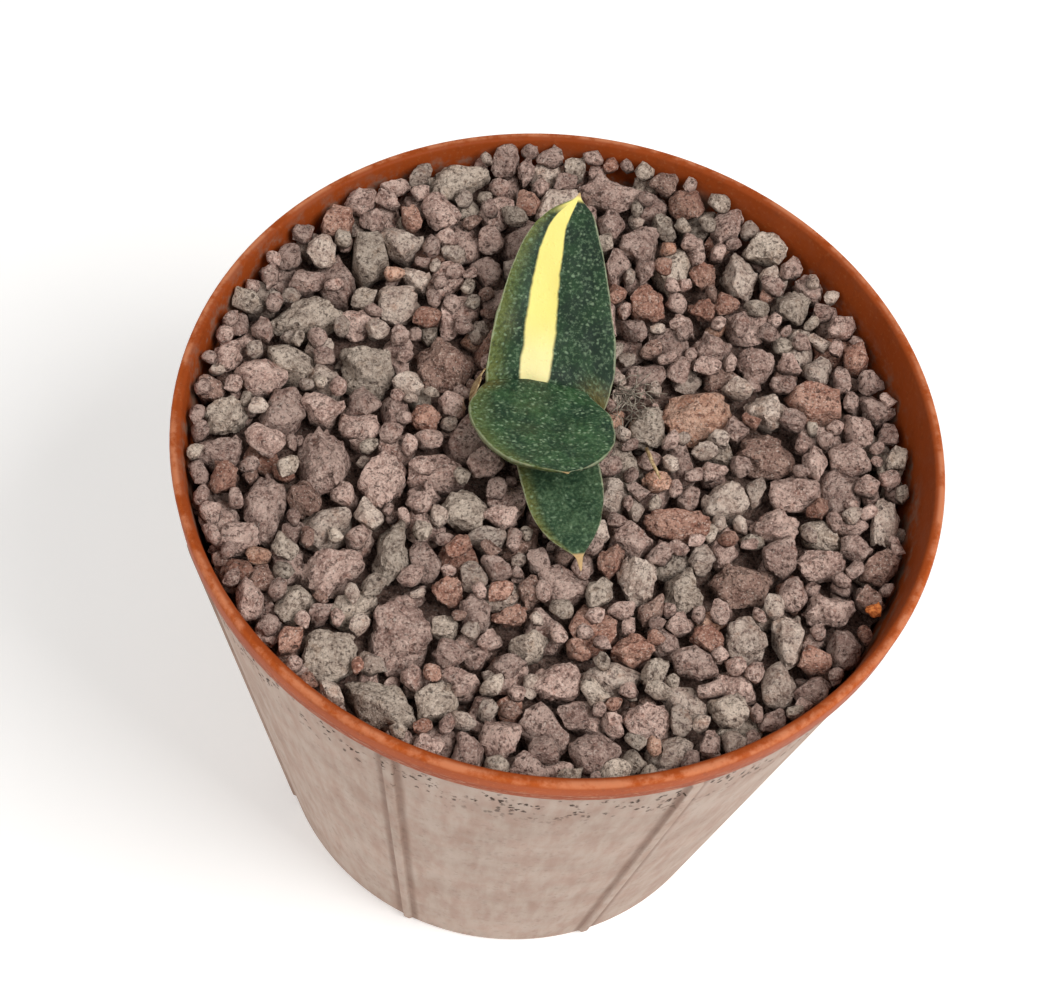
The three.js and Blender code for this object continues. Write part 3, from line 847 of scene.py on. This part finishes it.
def join_stones(group):
    """One object of the laid stones of a group."""
    stones = []
    for kind, half_sizes, turn, place, seed, shade, tip, lean in group:
        grade = "plain" if half_sizes[0] > 1.6 else "small"
        stone = stone_from(MOULDS[grade][kind], "pebble", seed, shade)
        stone.matrix_world = (Matrix.Translation(Vector(place) * MM) @ Matrix.Rotation(turn, 4, "Z")
                              @ Matrix.Rotation(tip, 4, "X") @ Matrix.Rotation(lean, 4, "Y")
                              @ Matrix.Diagonal([*(2 * half * FULLER * MM for half in half_sizes), 1]))
        stones.append(stone)
    take(stones[0], stones[1:])
    if len(stones) > 1:
        bpy.ops.object.join()
    return stones[0]


def build_gravel_core(settings):
    """The lower gravel, which shows only in the shade between the stones."""
    reach = inner_radius(CORE_BOTTOM) - 0.5
    clear_selection()
    bpy.ops.mesh.primitive_circle_add(vertices=72, radius=reach * MM, fill_type="NGON",
                                      location=(0, 0, CORE_BOTTOM * MM))
    core = added("lower_gravel")
    bpy.ops.object.transform_apply(location=True)
    bpy.ops.object.mode_set(mode="EDIT")
    bpy.ops.mesh.select_mode(type="FACE")
    bpy.ops.mesh.select_all(action="SELECT")
    grow = (reach + 0.9) / reach
    thickness = 5.2
    extrude_to((0, 0, thickness), (grow, grow, 1), (0, 0, CORE_BOTTOM + thickness))
    for _ in range(7):
        bpy.ops.mesh.inset(thickness=5.6 * MM, depth=0)
    bpy.ops.object.mode_set(mode="OBJECT")
    points = points_of(core.data)
    upper = points[:, 2] > (CORE_BOTTOM + thickness - 0.2) * MM
    points[upper, 2] = (gravel_level(points[upper, 0] / MM, points[upper, 1] / MM) - CORE_DEPTH) * MM
    put_points(core.data, points)
    face_outwards(core)
    add_modifier(core, "REMESH", mode="VOXEL", voxel_size=0.7 * MM)
    displace(core, ripples("small_cobbles", "VORONOI", 0.0024, distance_metric="DISTANCE"), -1.5 * MM)
    count = len(core.data.vertices)
    # Low stone_height and stone_shade values paint it dark, as shade under the stones.
    for name, value in (("stone_seed", 0.3), ("stone_shade", -0.6), ("stone_height", 0.38)):
        write_attribute(core.data, name, "FLOAT", np.full(count, value))
    settle(core, finish_for(settings, "dark"), angle=50)
    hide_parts("gravel_bed")


# ---- leaves -------------------------------------------------------------------------------
# Each leaf is lofted flat along +Y with its upper face up, then tilted, turned and moved.
# Rows: how far along, half width, middle's offset, thickness below the upper face. Millimetres.
# Crease: how far the base is moved along the leaf, at each place across it.

LEAVES = {
    "striped": {
        "rows": [(-1.6, 6.6, 0.1, 3.4), (-0.6, 7.4, 0.4, 4.2), (1.2, 7.95, 0.55, 4.4),
                 (4, 8.15, 0.5, 4.3), (6.5, 7.8, 0.3, 4.1), (9, 7.3, 0.05, 3.9),
                 (13, 6.5, -0.45, 3.5), (17, 5.35, -0.7, 3.0), (20, 4.05, -0.8, 2.4),
                 (21.6, 3.05, -0.5, 1.9), (22.7, 2.1, -0.2, 1.4), (23.5, 0.95, 0.0, 0.8),
                 (24.0, 0.3, 0.05, 0.4), (24.8, 0.12, 0.1, 0.2)],
        "crease": [(-7.5, -1.2), (-6.3, -0.5), (-4.3, 0.2), (-1.6, 0.4), (1.1, 0.5), (3.6, 0.1),
                   (6.1, -1.0), (8, -2.6)],
        "place": (-3.4, 8.35, 79.8), "azimuth": 0, "incline": 25, "length": 24.2,
        "node": "leaf_striped", "slot": "leaf_variegated",
    },
    "young": {
        "rows": [(-1.0, 5.6, 0.3, 3.2), (0.2, 6.6, 0.3, 4.0), (2.5, 7.6, 0.4, 4.4),
                 (5, 8.55, 0.35, 4.6), (8.4, 8.9, 0, 4.4), (11, 8.7, -0.35, 3.9),
                 (13.4, 8.0, -0.7, 3.1), (15.4, 7.0, -0.8, 2.4), (17.0, 5.8, -0.9, 1.8),
                 (18.2, 4.4, -1.15, 1.3), (19.0, 3.0, -1.5, 0.9), (19.5, 1.5, -2.0, 0.6),
                 (19.8, 0.4, -2.3, 0.4), (20.3, 0.12, -2.5, 0.2)],
        "crease": [(-8.6, 4.6), (-7.9, 3.5), (-6, 1.4), (-3.6, -0.1), (-1.2, -0.7), (1.5, -0.9),
                   (4.3, -0.9), (6.3, -0.2), (8, 1.2)],
        "place": (-4.1, 8.35, 79.8), "azimuth": 170, "incline": 24, "length": 19.9,
        "node": "leaf_young", "slot": "leaf_green",
    },
    "old": {
        "rows": [(-1, 4.4, 0, 2.4), (1, 5.1, 0, 2.8), (5, 5.2, -0.2, 2.9), (9, 5.0, -0.3, 2.7),
                 (12, 4.95, -0.4, 2.4), (14.5, 4.7, -0.4, 2.2), (17, 3.85, -0.3, 1.8),
                 (19, 2.7, -0.45, 1.4), (20.4, 1.5, -0.6, 0.9), (21.2, 0.6, -0.75, 0.5),
                 (22.2, 0.25, -0.75, 0.35), (23.6, 0.1, -0.65, 0.2)],
        "crease": [(-5, 0), (5, 0)],
        "place": (-2.5, 4.8, 79.2), "azimuth": 162.5, "incline": 2.0, "length": 21.2,
        "node": "leaf_old", "slot": "leaf_green",
    },
}


def build_leaf(settings, name, finish):
    shape = LEAVES[name]
    rows = shape["rows"]
    clear_selection()
    bpy.ops.mesh.primitive_circle_add(vertices=28, radius=MM, fill_type="NGON", rotation=(math.pi / 2, 0, 0))
    leaf = added(f"gasteria_leaf_{name}")
    bpy.ops.object.transform_apply(rotation=True)
    bpy.ops.object.mode_set(mode="EDIT")
    bpy.ops.mesh.select_mode(type="VERT")
    pick(leaf, lambda vert: vert.co.z > 0.05 * MM)
    bpy.ops.transform.resize(value=(1, 1, 0.05), center_override=(0, 0, 0))
    bpy.ops.mesh.select_mode(type="FACE")
    bpy.ops.mesh.select_all(action="SELECT")
    along, half, offset, below = rows[0]
    start = (offset * MM, along * MM, 0)
    bpy.ops.transform.translate(value=start)
    bpy.ops.transform.resize(value=(half, 1, below), center_override=start)
    for next_along, next_half, next_offset, next_below in rows[1:]:
        extrude_to((next_offset - offset, next_along - along, 0), (next_half / half, 1, next_below / below),
                   (next_offset, next_along, 0))
        along, half, offset, below = next_along, next_half, next_offset, next_below
    bpy.ops.object.mode_set(mode="OBJECT")
    face_outwards(leaf)
    add_modifier(leaf, "SUBSURF", levels=2, render_levels=2)
    points = points_of(leaf.data) / MM
    stations = np.array(rows)
    middle = np.interp(points[:, 1], stations[:, 0], stations[:, 2])
    halves = np.maximum(np.interp(points[:, 1], stations[:, 0], stations[:, 1]), 0.3)
    side = (points[:, 0] - middle) / halves
    run = points[:, 1] / shape["length"]
    write_attribute(leaf.data, "leaf_mm", "FLOAT_VECTOR", points)
    write_attribute(leaf.data, "leaf_side", "FLOAT", np.clip(side * 1.02, -1, 1))
    write_attribute(leaf.data, "leaf_run", "FLOAT", run)
    # A shallow hollow along the upper face, a rolled-down base and a slightly uneven surface.
    upper = np.clip(1 + points[:, 2] / 0.6, 0, 1)
    hollow = -0.45 * np.clip(1 - side ** 2, 0, 1) * np.sin(np.pi * np.clip(run, 0, 1))
    base = -1.1 * np.clip((1.4 - points[:, 1]) / 2.6, 0, 1) ** 2
    points[:, 2] += upper * (hollow + base)
    crease = np.array(shape["crease"])
    moved = np.interp(points[:, 0], crease[:, 0], crease[:, 1])
    points[:, 1] += moved * np.clip(1 - points[:, 1] / 7, 0, 1)
    put_points(leaf.data, points * MM)
    displace(leaf, ripples("leaf_unevenness", "CLOUDS", 0.0042, noise_depth=1), settings.leaf_unevenness)
    leaf.matrix_world = (Matrix.Translation(Vector(shape["place"]) * MM)
                         @ Matrix.Rotation(-math.radians(shape["azimuth"]), 4, "Z")
                         @ Matrix.Rotation(math.radians(shape["incline"]), 4, "X"))
    settle(leaf, finish)
    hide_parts(shape["node"])


def build_leaves(settings):
    young = leaf_flesh("young_leaf_flesh", settings, opaque(settings.young_leaf), "3a5b38", "606b35",
                       0.62, 0.94, dense=True)
    old = leaf_flesh("old_leaf_flesh", settings, opaque(settings.old_leaf), "475e42", "74743c", 0.64, 0.55)
    striped = leaf_flesh("striped_leaf_flesh", settings, opaque(settings.striped_leaf), "284528", "6b7234",
                         0.58, 0.70)
    build_leaf(settings, "striped", striped)
    build_leaf(settings, "young", young)
    build_leaf(settings, "old", old)


# ---- small dry remains, stem and mix ------------------------------------------------------

def build_remains(settings):
    papery = dry_papery()
    build_sheath(papery)
    build_straw(papery)
    build_hair(settings)
    build_crumb()


def build_sheath(papery):
    """The papery leaf sheath, a curled sheet with a torn upper edge."""
    clear_selection()
    bpy.ops.mesh.primitive_grid_add(x_subdivisions=18, y_subdivisions=12, size=1)
    sheath = added("papery_sheath")
    points = points_of(sheath.data)
    turn = 2.72 + 0.80 * (points[:, 0] + 0.5)
    tear = 0.6 * np.sin(9 * turn) + 0.35 * np.sin(23 * turn + 1)
    lift = (points[:, 1] + 0.5) * (2.9 + tear * (points[:, 1] > 0))
    radius = 8.6 + 0.25 * np.sin(5 * turn) - 0.30 * lift
    curled = [-3.5 + radius * np.cos(turn), 5.6 + radius * np.sin(turn), 77.3 + lift]
    put_points(sheath.data, np.stack(curled, axis=1) * MM)
    add_modifier(sheath, "SOLIDIFY", thickness=0.22 * MM, offset=0)
    add_modifier(sheath, "SUBSURF", levels=1, render_levels=1)
    face_outwards(sheath)
    settle(sheath, papery)
    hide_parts("dry_sheath")


def build_straw(papery):
    """A bent stalk, thin at one end."""
    clear_selection()
    bpy.ops.mesh.primitive_cylinder_add(vertices=10, radius=0.24 * MM, depth=0.4 * MM)
    straw = added("bit_of_straw")
    way = [(10.6, 2.6, 78.3), (11.1, 1.5, 78.62), (11.6, 0.4, 78.7), (12.3, -0.6, 78.52),
           (12.9, -1.4, 78.2)]
    lay_tube(straw, way, [0.22, 0.26, 0.24, 0.22, 0.12])
    settle(straw, papery)
    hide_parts("dry_straw")


def build_hair(settings):
    """A tuft of root hair on the right of the leaf bases."""
    random_source = random.Random(settings.seed + 9)
    strands = []
    for _ in range(settings.hair_count):
        clear_selection()
        bpy.ops.mesh.primitive_cylinder_add(vertices=5, radius=0.1 * MM, depth=0.2 * MM)
        strand = added("hair")
        x, y = 6.0 + random_source.uniform(-0.9, 1.6), 9.2 + random_source.uniform(-2.4, 2.6)
        heading = random_source.uniform(-1.2, 1.1)
        way, z = [], 77.2
        for step in range(7):
            way.append((x, y, z))
            heading += random_source.uniform(-0.6, 0.6)
            x += 0.8 * math.cos(heading)
            y += 0.8 * math.sin(heading)
            z += random_source.uniform(0.0, 0.75) if step < 3 else random_source.uniform(-0.7, 0.35)
        lay_tube(strand, way, [0.07, 0.07, 0.06, 0.06, 0.05, 0.04, 0.02])
        strands.append(strand)
    take(strands[0], strands[1:])
    bpy.ops.object.join()
    strands[0].name = strands[0].data.name = "root_hair_tuft"
    settle(strands[0], root_hair())


def build_crumb():
    """The orange crumb by the wall."""
    check_moulds()
    low, high = (Vector(corner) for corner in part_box("pot_crumb"))
    crumb = stone_from(MOULDS["plain"][3], "orange_crumb", 0.2, 0.0)
    crumb.matrix_world = Matrix.Translation((low + high) / 2) @ Matrix.Diagonal([*(high - low), 1])
    settle(crumb, crumb_finish(), angle=50)
    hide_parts("pot_crumb")


def lay_tube(piece, way, radii):
    """Remakes a short cylinder as a closed tube along a way, a ring at each point."""
    bpy.ops.object.mode_set(mode="EDIT")
    bpy.ops.mesh.select_mode(type="FACE")
    floor = min(vert.co.z for vert in bmesh.from_edit_mesh(piece.data).verts)

    def on_top(face):
        return face.calc_center_median().z > floor + 0.05 * MM and abs(face.normal.z) > 0.5

    pick(piece, on_top, "faces")
    for _ in range(len(way) - 2):
        bpy.ops.mesh.extrude_region_move(TRANSFORM_OT_translate={"value": (0, 0, 0.4 * MM)})
    bpy.ops.object.mode_set(mode="OBJECT")
    points = points_of(piece.data)
    heights = np.round(points[:, 2] / (0.01 * MM)).astype(int)
    stops = [Vector(stop) * MM for stop in way]
    placed = points.copy()
    for row, height in enumerate(sorted(set(heights))):
        ahead = (stops[min(row + 1, len(stops) - 1)] - stops[max(row - 1, 0)]).normalized()
        across = ahead.to_track_quat("Z", "Y").to_matrix()
        for index in np.flatnonzero(heights == height):
            flat = Vector((points[index, 0], points[index, 1], 0)).normalized() * radii[row] * MM
            placed[index] = stops[row] + across @ flat
    put_points(piece.data, placed)


def build_mix():
    mix = copy_of_node("growing_mix", "peat_and_grit")
    add_modifier(mix, "REMESH", mode="VOXEL", voxel_size=1.1 * MM)
    displace(mix, ripples("mix_lumps", "CLOUDS", 0.003, noise_depth=2), 0.5 * MM, mid_level=0.8)
    settle(mix, mix_finish())
    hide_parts("growing_mix")
    stem = copy_of_node("stem_with_roots", "short_stem_and_roots")
    add_modifier(stem, "REMESH", mode="VOXEL", voxel_size=0.4 * MM)
    add_modifier(stem, "SMOOTH", factor=0.5, iterations=4)
    settle(stem, root_flesh())
    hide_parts("stem_with_roots")


# ---- stage --------------------------------------------------------------------------------

def build_stage(settings):
    clear_selection()
    bpy.ops.mesh.primitive_plane_add(size=12)
    floor = added("floor")
    f = Finish("pale_floor")
    tone = f.blend(f.noise(60 * MM), "f4f3f1", "fafaf9")
    f.shader.inputs["Emission Color"].default_value = (1, 1, 1, 1)
    floor.data.materials.append(f.end(tone, 0.9, Specular_IOR_Level=0.1, Emission_Strength=0.30))
    world = bpy.data.worlds.new("studio")
    bpy.context.scene.world = world
    world.use_nodes = True
    back = world.node_tree.nodes["Background"]
    back.inputs["Color"].default_value = (*settings.sky_colour, 1)
    back.inputs["Strength"].default_value = settings.sky_strength
    lamps = (("key", (0.34, -0.16, 0.60), 0.34, settings.key_power),
             ("fill", (-0.45, -0.30, 0.55), 0.60, settings.key_power * 0.30))
    for name, place, size, power in lamps:
        clear_selection()
        bpy.ops.object.light_add(type="AREA", location=place)
        lamp = bpy.context.object
        lamp.name = name
        lamp.data.size = size
        lamp.data.energy = power
        aim = Vector((0, 0, 0.06)) - Vector(place)
        lamp.rotation_euler = aim.to_track_quat("-Z", "Y").to_euler()
    bpy.ops.object.camera_add()
    camera = bpy.context.object
    camera.name = "viewpoint"
    camera.data.sensor_fit = "HORIZONTAL"
    camera.data.sensor_width = 36
    camera.data.lens = 87.9
    camera.data.clip_start = 0.01
    yaw, pitch, roll = (math.radians(v) for v in (-1.19, 57.85, 9.51))
    flat_ahead = Vector((math.sin(yaw), math.cos(yaw), 0))
    ahead = flat_ahead * math.cos(pitch) - Vector((0, 0, math.sin(pitch)))
    right = Vector((math.cos(yaw), -math.sin(yaw), 0))
    up = right.cross(ahead)
    leaned_right = math.cos(roll) * right + math.sin(roll) * up
    leaned_up = math.cos(roll) * up - math.sin(roll) * right
    facing = Matrix((leaned_right, leaned_up, -ahead)).transposed().to_4x4()
    camera.matrix_world = Matrix.Translation((0, -0.172615, 0.34002)) @ facing
    bpy.context.scene.camera = camera
    bpy.context.scene.view_settings.view_transform = "Standard"


# ---- the add-on ---------------------------------------------------------------------------

def colour_setting(name, description, code):
    return FloatVectorProperty(name=name, description=description, default=linear(code)[:3],
                               subtype="COLOR", size=3, min=0, max=1)


def length_setting(name, description, default):
    return FloatProperty(name=name, description=description, default=default, min=0, precision=5,
                         subtype="DISTANCE", unit="LENGTH")


class GasteriaSettings(bpy.types.PropertyGroup):
    """What a user would change."""

    seed: IntProperty(name="Seed", description="Varies how the stones lie", default=11, min=0)
    mould_count: IntProperty(name="Stone shapes", description="Different stone shapes to cut",
                             default=16, min=4)
    gravel_tries: IntProperty(name="Places tried", description="Places tried for each small stone",
                              default=200, min=1)
    pot_segments: IntProperty(name="Pot segments", description="Faces round the pot, a multiple of 8",
                              default=160, min=64)
    hair_count: IntProperty(name="Root hairs", description="Hairs in the tuft", default=26, min=2)
    rib_height: length_setting("Rib height", "How far the pot's ribs stand out", 0.4 * MM)
    drain_radius: length_setting("Drain hole radius", "Radius of the holes in the pot's floor", 3.6 * MM)
    leaf_unevenness: length_setting("Leaf unevenness", "How far the leaves swell and dip", 0.55 * MM)
    terracotta: colour_setting("Terracotta", "Plastic of the pot, where it is lightest", "bb5a26")
    terracotta_deep: colour_setting("Deep terracotta", "Plastic of the pot, where it is deepest", "9a4318")
    haze: colour_setting("Haze", "Lime haze on the wall, where it is lightest", "c2b3a7")
    haze_deep: colour_setting("Deep haze", "Lime haze on the wall, where it is deepest", "a89689")
    young_leaf: colour_setting("Young leaf", "Deep green of the young leaf", "1f3a28")
    old_leaf: colour_setting("Old leaf", "Deep green of the old leaf", "2d4430")
    striped_leaf: colour_setting("Striped leaf", "Deep green of the striped leaf", "13281a")
    stripe_colour: colour_setting("Stripe", "Yellow of the striped leaf", "f6e684")
    speck_colour: colour_setting("Specks", "Pale specks of the leaves", "9ab28e")
    mauve_stone: colour_setting("Mauve stone", "Main colour of the mauve stones", "a18378")
    grey_stone: colour_setting("Grey stone", "Main colour of the grey stones", "a29082")
    pale_stone: colour_setting("Pale stone", "Main colour of the pale stones", "ad9688")
    dark_stone: colour_setting("Dark stone", "Main colour of the dark stones", "88695d")
    rust_stone: colour_setting("Rusty stone", "Main colour of the rusty stones", "9c6f5e")
    tan_stone: colour_setting("Tan stone", "Main colour of the tan stones", "bb8a72")
    key_power: FloatProperty(name="Key light", description="Power of the main light", default=3.4,
                             subtype="POWER", unit="POWER")
    sky_strength: FloatProperty(name="Sky strength", description="Brightness of the soft surroundings",
                                default=0.40)
    sky_colour: FloatVectorProperty(name="Sky colour", description="Colour of the soft surroundings",
                                    default=(1.0, 0.985, 0.965), subtype="COLOR", size=3, min=0, max=1)


class GASTERIA_OT_pot(bpy.types.Operator):
    """Turns the nursery pot, its ribs and its drain holes"""

    bl_idname = "gasteria.pot"
    bl_label = "Pot"

    def execute(self, context):
        build_pot(context.scene.gasteria)
        return {"FINISHED"}


class GASTERIA_OT_moulds(bpy.types.Operator):
    """Cuts the stone shapes that are copied"""

    bl_idname = "gasteria.moulds"
    bl_label = "Stone shapes"

    def execute(self, context):
        build_moulds(context.scene.gasteria)
        return {"FINISHED"}


class GASTERIA_OT_stones(bpy.types.Operator):
    """Places the larger stones"""

    bl_idname = "gasteria.stones"
    bl_label = "Larger stones"

    def execute(self, context):
        build_stones(context.scene.gasteria)
        return {"FINISHED"}


class GASTERIA_OT_gravel(bpy.types.Operator):
    """Lays the small stones between the larger ones, and the lower gravel under them"""

    bl_idname = "gasteria.gravel"
    bl_label = "Fine gravel"

    def execute(self, context):
        build_gravel(context.scene.gasteria)
        return {"FINISHED"}


class GASTERIA_OT_leaves(bpy.types.Operator):
    """Lofts the three leaves"""

    bl_idname = "gasteria.leaves"
    bl_label = "Leaves"

    def execute(self, context):
        build_leaves(context.scene.gasteria)
        return {"FINISHED"}


class GASTERIA_OT_remains(bpy.types.Operator):
    """Makes the sheath, straw, root hair and crumb"""

    bl_idname = "gasteria.remains"
    bl_label = "Dry remains"

    def execute(self, context):
        build_remains(context.scene.gasteria)
        return {"FINISHED"}


class GASTERIA_OT_mix(bpy.types.Operator):
    """Makes the growing mix, the stem and the roots"""

    bl_idname = "gasteria.mix"
    bl_label = "Mix and stem"

    def execute(self, context):
        build_mix()
        return {"FINISHED"}


class GASTERIA_OT_stage(bpy.types.Operator):
    """Sets the floor, the lights and the camera"""

    bl_idname = "gasteria.stage"
    bl_label = "Stage"

    def execute(self, context):
        build_stage(context.scene.gasteria)
        return {"FINISHED"}


OPERATORS = (GASTERIA_OT_pot, GASTERIA_OT_moulds, GASTERIA_OT_stones, GASTERIA_OT_gravel,
             GASTERIA_OT_leaves, GASTERIA_OT_remains, GASTERIA_OT_mix, GASTERIA_OT_stage)


class GASTERIA_PT_panel(bpy.types.Panel):
    """The settings, and a button for each piece"""

    bl_label = "Potted Gasteria"
    bl_space_type = "VIEW_3D"
    bl_region_type = "UI"
    bl_category = "Gasteria"

    def draw(self, context):
        for name in GasteriaSettings.__annotations__:
            self.layout.prop(context.scene.gasteria, name)
        for step in OPERATORS:
            self.layout.operator(step.bl_idname)


CLASSES = (GasteriaSettings, *OPERATORS, GASTERIA_PT_panel)


def register():
    for cls in CLASSES:
        bpy.utils.register_class(cls)
    bpy.types.Scene.gasteria = PointerProperty(type=GasteriaSettings)


def unregister():
    del bpy.types.Scene.gasteria
    for cls in reversed(CLASSES):
        bpy.utils.unregister_class(cls)


def main():
    register()
    bpy.ops.gasteria.pot()
    bpy.ops.gasteria.moulds()
    bpy.ops.gasteria.stones()
    bpy.ops.gasteria.gravel()
    bpy.ops.gasteria.leaves()
    bpy.ops.gasteria.remains()
    bpy.ops.gasteria.mix()
    bpy.ops.gasteria.stage()


if __name__ == "__main__":
    main()
